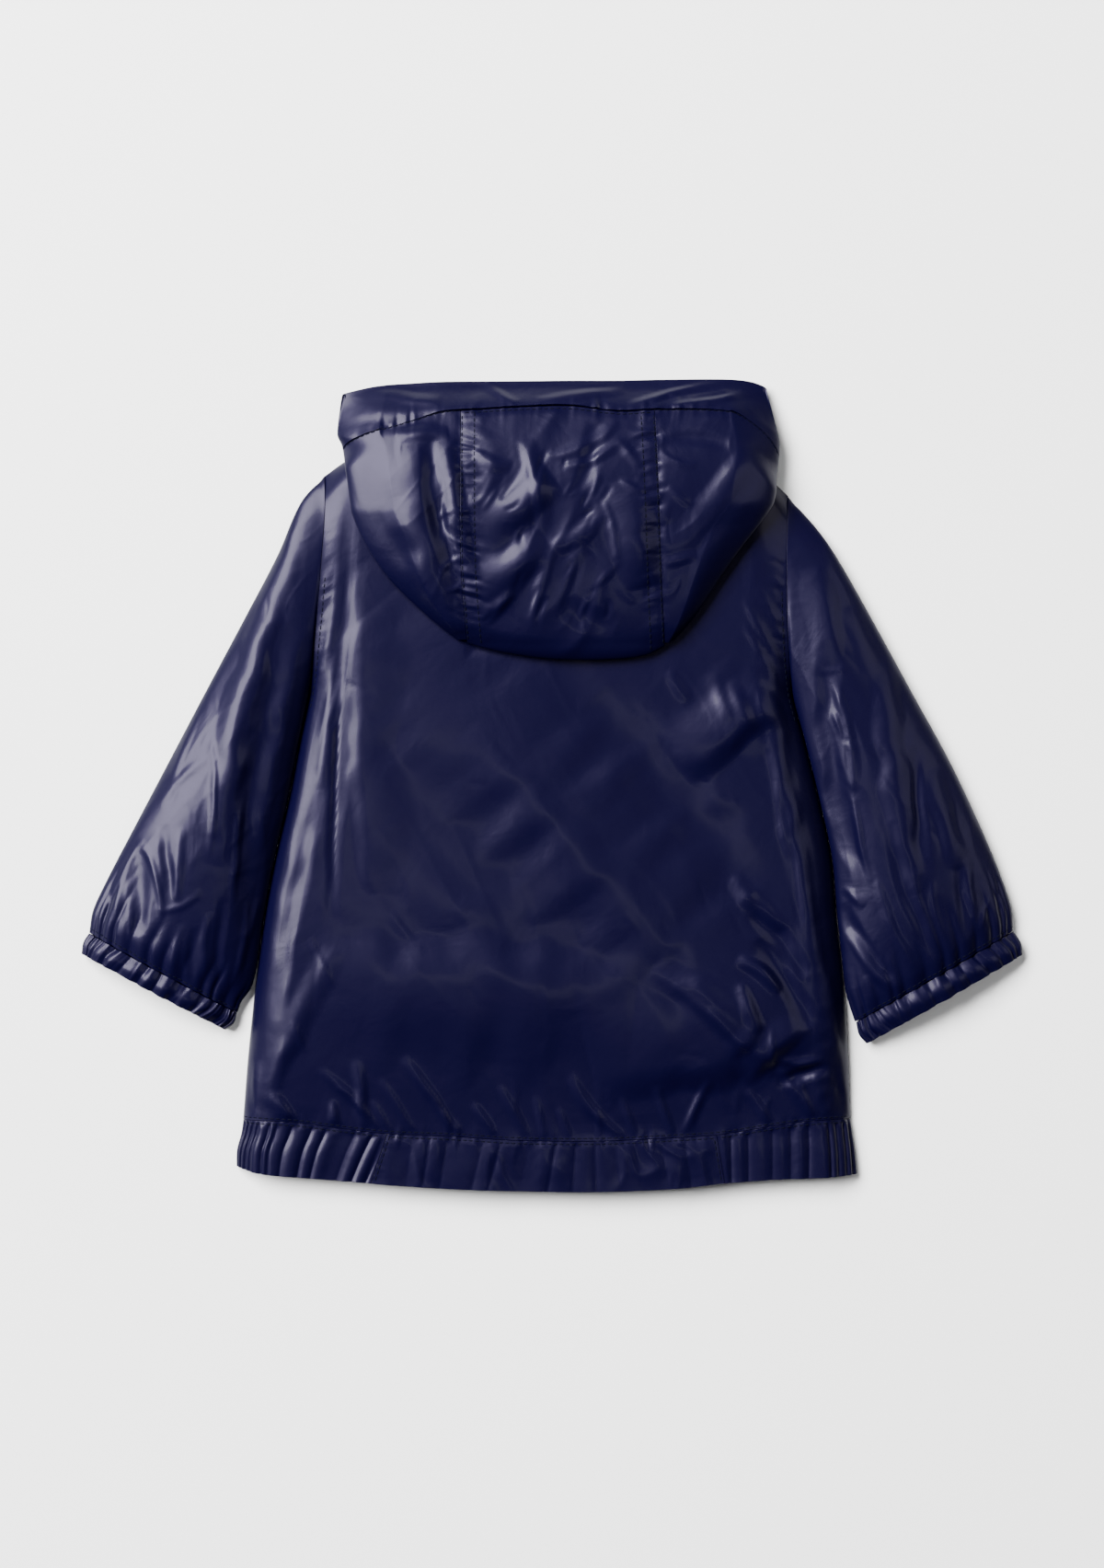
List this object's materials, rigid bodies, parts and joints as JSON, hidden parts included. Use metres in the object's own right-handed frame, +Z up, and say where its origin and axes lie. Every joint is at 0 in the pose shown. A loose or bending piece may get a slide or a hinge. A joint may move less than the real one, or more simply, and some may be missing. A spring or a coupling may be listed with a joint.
{
  "type": "kids raincoat",
  "caption": "Toddler's hooded raincoat in coated cloth, laid face down with the hood over the back, with elastic cuffs and a gathered hem band.",
  "frame": {"origin": "on the table under the middle of the laid coat", "axes": "+X to the viewer's right across the laid coat, +Y from the hem to the hood, +Z up from the table, out of the coat's back"},
  "size_m": [0.513, 0.4436, 0.0324],
  "materials": {
    "coated_cloth": "gloss",
    "snap": "satin"
  },
  "bodies": {
    "root": {"back": "coated_cloth", "front_left": "coated_cloth", "front_right": "coated_cloth", "hem_back": "coated_cloth", "hem_side_left": "coated_cloth", "hem_side_right": "coated_cloth", "hem_front_left": "coated_cloth", "hem_front_right": "coated_cloth", "sleeve_left": "coated_cloth", "sleeve_right": "coated_cloth", "cuff_left": "coated_cloth", "cuff_right": "coated_cloth", "hood_middle": "coated_cloth", "hood_side_left": "coated_cloth", "hood_side_right": "coated_cloth", "hood_band": "coated_cloth", "snap_1": "snap", "snap_2": "snap", "snap_3": "snap", "snap_4": "snap", "snap_5": "snap", "snap_6": "snap"}
  },
  "joints": []
}
